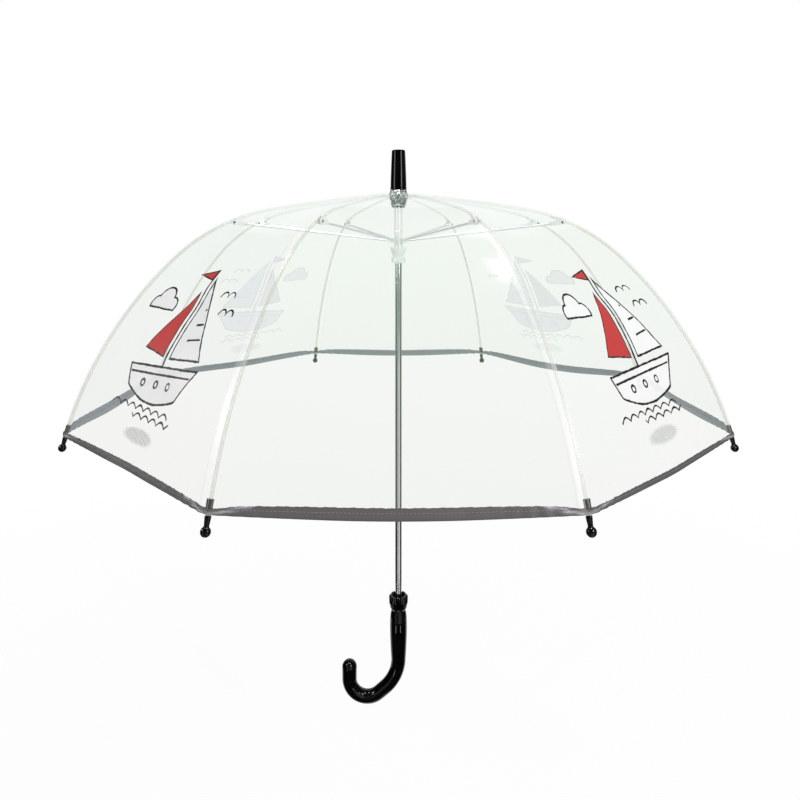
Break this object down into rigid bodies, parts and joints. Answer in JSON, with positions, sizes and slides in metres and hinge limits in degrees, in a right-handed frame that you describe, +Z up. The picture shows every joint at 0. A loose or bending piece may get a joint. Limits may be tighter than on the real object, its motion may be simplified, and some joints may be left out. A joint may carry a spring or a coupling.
{
  "type": "stick umbrella",
  "caption": "Clear dome stick umbrella for a child, with folding ribs and stretchers, a sliding runner, taped hem, ball tips, ferrule and crook handle.",
  "frame": {"origin": "on the shaft's axis at the height of the crook handle's lowest point, umbrella open and upright", "axes": "+Z up the shaft to the ferrule; the hook of the handle points to -X; both catches are on the +Y side"},
  "size_m": [0.6892, 0.6892, 0.67],
  "materials": {
    "clear_film": "clear soft film, glossy; grey tape along the hem",
    "rib_rod": "white glass-fibre rod",
    "stretcher_steel": "plated steel wire with a white moulded fork",
    "shaft_chrome": "bright plated tube",
    "bright_metal": "bright crimped metal",
    "spring_wire": "drawn wire and spring strip",
    "white_plastic": "milky moulded plastic",
    "clear_plastic": "clear moulded plastic",
    "black_gloss": "high-gloss black"
  },
  "bodies": {
    "frame": {"shaft": "shaft_chrome", "ferrule": "black_gloss", "crown_washer": "clear_plastic", "top_notch": "bright_metal", "notch_wire": "spring_wire", "top_spacer": "white_plastic", "handle": "black_gloss", "tip_cup": "black_gloss"},
    "rib_arm_1": {"rib_1": "rib_rod", "crown_panel_1": "clear_film"},
    "rib_tail_1": {"rib_end_1": "rib_rod", "tip_1": "black_gloss", "skirt_panel_1": "clear_film"},
    "stretcher_arm_1": {"stretcher_1": "stretcher_steel"},
    "rib_arm_2": {"rib_2": "rib_rod", "crown_panel_2": "clear_film"},
    "rib_tail_2": {"rib_end_2": "rib_rod", "tip_2": "black_gloss", "skirt_panel_2": "clear_film"},
    "stretcher_arm_2": {"stretcher_2": "stretcher_steel"},
    "rib_arm_3": {"rib_3": "rib_rod", "crown_panel_3": "clear_film"},
    "rib_tail_3": {"rib_end_3": "rib_rod", "tip_3": "black_gloss", "skirt_panel_3": "clear_film"},
    "stretcher_arm_3": {"stretcher_3": "stretcher_steel"},
    "rib_arm_4": {"rib_4": "rib_rod", "crown_panel_4": "clear_film"},
    "rib_tail_4": {"rib_end_4": "rib_rod", "tip_4": "black_gloss", "skirt_panel_4": "clear_film"},
    "stretcher_arm_4": {"stretcher_4": "stretcher_steel"},
    "rib_arm_5": {"rib_5": "rib_rod", "crown_panel_5": "clear_film"},
    "rib_tail_5": {"rib_end_5": "rib_rod", "tip_5": "black_gloss", "skirt_panel_5": "clear_film"},
    "stretcher_arm_5": {"stretcher_5": "stretcher_steel"},
    "rib_arm_6": {"rib_6": "rib_rod", "crown_panel_6": "clear_film"},
    "rib_tail_6": {"rib_end_6": "rib_rod", "tip_6": "black_gloss", "skirt_panel_6": "clear_film"},
    "stretcher_arm_6": {"stretcher_6": "stretcher_steel"},
    "rib_arm_7": {"rib_7": "rib_rod", "crown_panel_7": "clear_film"},
    "rib_tail_7": {"rib_end_7": "rib_rod", "tip_7": "black_gloss", "skirt_panel_7": "clear_film"},
    "stretcher_arm_7": {"stretcher_7": "stretcher_steel"},
    "rib_arm_8": {"rib_8": "rib_rod", "crown_panel_8": "clear_film"},
    "rib_tail_8": {"rib_end_8": "rib_rod", "tip_8": "black_gloss", "skirt_panel_8": "clear_film"},
    "stretcher_arm_8": {"stretcher_8": "stretcher_steel"},
    "runner_sleeve": {"runner": "white_plastic", "runner_wire": "spring_wire"},
    "top_catch_leaf": {"top_catch": "spring_wire"},
    "bottom_catch_leaf": {"bottom_catch": "spring_wire"}
  },
  "joints": [
    {"name": "rib_1_fold", "type": "hinge", "parent": "frame", "child": "rib_arm_1", "pos_m": [0.00306, -0.00739, 0.603], "axis": [0.9239, 0.3827, 0], "range_deg": [0, 78], "deforming": ["crown_panel_1", "top_catch", "bottom_catch"]},
    {"name": "rib_1_straighten", "type": "hinge", "parent": "rib_arm_1", "child": "rib_tail_1", "pos_m": [0.07539, -0.182, 0.5815], "axis": [0.9239, 0.3827, 0], "range_deg": [-38.63, 0], "deforming": ["skirt_panel_1"]},
    {"name": "stretcher_1_swing", "type": "hinge", "parent": "rib_arm_1", "child": "stretcher_arm_1", "pos_m": [0.07539, -0.182, 0.5815], "axis": [0.9239, 0.3827, 0], "range_deg": [-156, 0]},
    {"name": "rib_2_fold", "type": "hinge", "parent": "frame", "child": "rib_arm_2", "pos_m": [0.00739, -0.00306, 0.603], "axis": [0.3827, 0.9239, 0], "range_deg": [0, 78], "deforming": ["crown_panel_2"]},
    {"name": "rib_2_straighten", "type": "hinge", "parent": "rib_arm_2", "child": "rib_tail_2", "pos_m": [0.182, -0.07539, 0.5815], "axis": [0.3827, 0.9239, 0], "range_deg": [-38.63, 0], "deforming": ["skirt_panel_2"]},
    {"name": "stretcher_2_swing", "type": "hinge", "parent": "rib_arm_2", "child": "stretcher_arm_2", "pos_m": [0.182, -0.07539, 0.5815], "axis": [0.3827, 0.9239, 0], "range_deg": [-156, 0]},
    {"name": "rib_3_fold", "type": "hinge", "parent": "frame", "child": "rib_arm_3", "pos_m": [0.00739, 0.00306, 0.603], "axis": [-0.3827, 0.9239, 0], "range_deg": [0, 78], "deforming": ["crown_panel_3"]},
    {"name": "rib_3_straighten", "type": "hinge", "parent": "rib_arm_3", "child": "rib_tail_3", "pos_m": [0.182, 0.07539, 0.5815], "axis": [-0.3827, 0.9239, 0], "range_deg": [-38.63, 0], "deforming": ["skirt_panel_3"]},
    {"name": "stretcher_3_swing", "type": "hinge", "parent": "rib_arm_3", "child": "stretcher_arm_3", "pos_m": [0.182, 0.07539, 0.5815], "axis": [-0.3827, 0.9239, 0], "range_deg": [-156, 0]},
    {"name": "rib_4_fold", "type": "hinge", "parent": "frame", "child": "rib_arm_4", "pos_m": [0.00306, 0.00739, 0.603], "axis": [-0.9239, 0.3827, 0], "range_deg": [0, 78], "deforming": ["crown_panel_4"]},
    {"name": "rib_4_straighten", "type": "hinge", "parent": "rib_arm_4", "child": "rib_tail_4", "pos_m": [0.07539, 0.182, 0.5815], "axis": [-0.9239, 0.3827, 0], "range_deg": [-38.63, 0], "deforming": ["skirt_panel_4"]},
    {"name": "stretcher_4_swing", "type": "hinge", "parent": "rib_arm_4", "child": "stretcher_arm_4", "pos_m": [0.07539, 0.182, 0.5815], "axis": [-0.9239, 0.3827, 0], "range_deg": [-156, 0]},
    {"name": "rib_5_fold", "type": "hinge", "parent": "frame", "child": "rib_arm_5", "pos_m": [-0.00306, 0.00739, 0.603], "axis": [-0.9239, -0.3827, 0], "range_deg": [0, 78], "deforming": ["crown_panel_5"]},
    {"name": "rib_5_straighten", "type": "hinge", "parent": "rib_arm_5", "child": "rib_tail_5", "pos_m": [-0.07539, 0.182, 0.5815], "axis": [-0.9239, -0.3827, 0], "range_deg": [-38.63, 0], "deforming": ["skirt_panel_5"]},
    {"name": "stretcher_5_swing", "type": "hinge", "parent": "rib_arm_5", "child": "stretcher_arm_5", "pos_m": [-0.07539, 0.182, 0.5815], "axis": [-0.9239, -0.3827, 0], "range_deg": [-156, 0]},
    {"name": "rib_6_fold", "type": "hinge", "parent": "frame", "child": "rib_arm_6", "pos_m": [-0.00739, 0.00306, 0.603], "axis": [-0.3827, -0.9239, 0], "range_deg": [0, 78], "deforming": ["crown_panel_6"]},
    {"name": "rib_6_straighten", "type": "hinge", "parent": "rib_arm_6", "child": "rib_tail_6", "pos_m": [-0.182, 0.07539, 0.5815], "axis": [-0.3827, -0.9239, 0], "range_deg": [-38.63, 0], "deforming": ["skirt_panel_6"]},
    {"name": "stretcher_6_swing", "type": "hinge", "parent": "rib_arm_6", "child": "stretcher_arm_6", "pos_m": [-0.182, 0.07539, 0.5815], "axis": [-0.3827, -0.9239, 0], "range_deg": [-156, 0]},
    {"name": "rib_7_fold", "type": "hinge", "parent": "frame", "child": "rib_arm_7", "pos_m": [-0.00739, -0.00306, 0.603], "axis": [0.3827, -0.9239, 0], "range_deg": [0, 78], "deforming": ["crown_panel_7"]},
    {"name": "rib_7_straighten", "type": "hinge", "parent": "rib_arm_7", "child": "rib_tail_7", "pos_m": [-0.182, -0.07539, 0.5815], "axis": [0.3827, -0.9239, 0], "range_deg": [-38.63, 0], "deforming": ["skirt_panel_7"]},
    {"name": "stretcher_7_swing", "type": "hinge", "parent": "rib_arm_7", "child": "stretcher_arm_7", "pos_m": [-0.182, -0.07539, 0.5815], "axis": [0.3827, -0.9239, 0], "range_deg": [-156, 0]},
    {"name": "rib_8_fold", "type": "hinge", "parent": "frame", "child": "rib_arm_8", "pos_m": [-0.00306, -0.00739, 0.603], "axis": [0.9239, -0.3827, 0], "range_deg": [0, 78], "deforming": ["crown_panel_8"]},
    {"name": "rib_8_straighten", "type": "hinge", "parent": "rib_arm_8", "child": "rib_tail_8", "pos_m": [-0.07539, -0.182, 0.5815], "axis": [0.9239, -0.3827, 0], "range_deg": [-38.63, 0], "deforming": ["skirt_panel_8"]},
    {"name": "stretcher_8_swing", "type": "hinge", "parent": "rib_arm_8", "child": "stretcher_arm_8", "pos_m": [-0.07539, -0.182, 0.5815], "axis": [0.9239, -0.3827, 0], "range_deg": [-156, 0]},
    {"name": "runner_hinge", "type": "hinge", "parent": "stretcher_arm_1", "child": "runner_sleeve", "pos_m": [0.00306, -0.00739, 0.56], "axis": [0.9239, 0.3827, 0], "range_deg": [0, 78]},
    {"name": "top_catch_press", "type": "slide", "parent": "frame", "child": "top_catch_leaf", "axis": [0, -1, 0], "range_m": [0, 0.0024], "stiffness_N_per_m": 800},
    {"name": "bottom_catch_press", "type": "slide", "parent": "frame", "child": "bottom_catch_leaf", "axis": [0, -1, 0], "range_m": [0, 0.0024], "stiffness_N_per_m": 800}
  ],
  "couplings": [
    {"joint": "rib_1_straighten", "follows": "rib_1_fold", "ratio": -0.49513},
    {"joint": "stretcher_1_swing", "follows": "rib_1_fold", "ratio": -2},
    {"joint": "rib_2_fold", "follows": "rib_1_fold", "ratio": 1},
    {"joint": "rib_2_straighten", "follows": "rib_1_fold", "ratio": -0.49513},
    {"joint": "stretcher_2_swing", "follows": "rib_1_fold", "ratio": -2},
    {"joint": "rib_3_fold", "follows": "rib_1_fold", "ratio": 1},
    {"joint": "rib_3_straighten", "follows": "rib_1_fold", "ratio": -0.49513},
    {"joint": "stretcher_3_swing", "follows": "rib_1_fold", "ratio": -2},
    {"joint": "rib_4_fold", "follows": "rib_1_fold", "ratio": 1},
    {"joint": "rib_4_straighten", "follows": "rib_1_fold", "ratio": -0.49513},
    {"joint": "stretcher_4_swing", "follows": "rib_1_fold", "ratio": -2},
    {"joint": "rib_5_fold", "follows": "rib_1_fold", "ratio": 1},
    {"joint": "rib_5_straighten", "follows": "rib_1_fold", "ratio": -0.49513},
    {"joint": "stretcher_5_swing", "follows": "rib_1_fold", "ratio": -2},
    {"joint": "rib_6_fold", "follows": "rib_1_fold", "ratio": 1},
    {"joint": "rib_6_straighten", "follows": "rib_1_fold", "ratio": -0.49513},
    {"joint": "stretcher_6_swing", "follows": "rib_1_fold", "ratio": -2},
    {"joint": "rib_7_fold", "follows": "rib_1_fold", "ratio": 1},
    {"joint": "rib_7_straighten", "follows": "rib_1_fold", "ratio": -0.49513},
    {"joint": "stretcher_7_swing", "follows": "rib_1_fold", "ratio": -2},
    {"joint": "rib_8_fold", "follows": "rib_1_fold", "ratio": 1},
    {"joint": "rib_8_straighten", "follows": "rib_1_fold", "ratio": -0.49513},
    {"joint": "stretcher_8_swing", "follows": "rib_1_fold", "ratio": -2},
    {"joint": "runner_hinge", "follows": "rib_1_fold", "ratio": 1}
  ]
}
